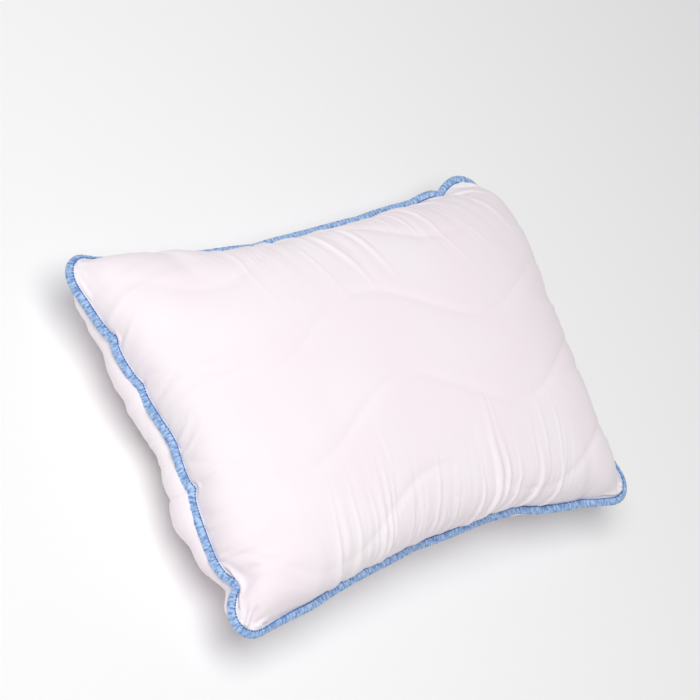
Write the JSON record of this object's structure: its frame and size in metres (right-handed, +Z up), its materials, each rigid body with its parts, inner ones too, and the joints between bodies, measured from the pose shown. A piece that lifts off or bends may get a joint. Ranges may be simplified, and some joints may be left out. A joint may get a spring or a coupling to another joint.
{
  "type": "bed pillow",
  "caption": "Filled rectangular bed pillow with wavy quilted panels and a folded contrast binding sewn round its edge.",
  "frame": {"origin": "bottom centre of the pillow's box, on the surface that it lies on, under the middle of the back panel", "axes": "+X along the long sides, +Y along the short sides, +Z up, out of the front panel"},
  "size_m": [0.655, 0.466, 0.158],
  "materials": {
    "cover_fabric": "brushed white microfibre, matt with a soft sheen",
    "wadding": "bonded polyester wadding, matt",
    "lining": "thin nonwoven backing, matt",
    "fibre": "loose crimped polyester fibre",
    "binding_tape": "light blue woven tape, satin",
    "binding_thread": "mid blue sewing thread",
    "quilting_thread": "white sewing thread"
  },
  "bodies": {
    "root": {"front_cover": "cover_fabric", "front_wadding": "wadding", "front_lining": "lining", "front_quilting_thread_1": "quilting_thread", "front_quilting_thread_2": "quilting_thread", "front_quilting_thread_3": "quilting_thread", "front_quilting_thread_4": "quilting_thread", "back_cover": "cover_fabric", "back_wadding": "wadding", "back_lining": "lining", "back_quilting_thread_1": "quilting_thread", "back_quilting_thread_2": "quilting_thread", "back_quilting_thread_3": "quilting_thread", "back_quilting_thread_4": "quilting_thread", "fibre_fill": "fibre", "edge_binding": "binding_tape", "binding_needle_thread": "binding_thread", "binding_bobbin_thread": "binding_thread"}
  },
  "joints": []
}
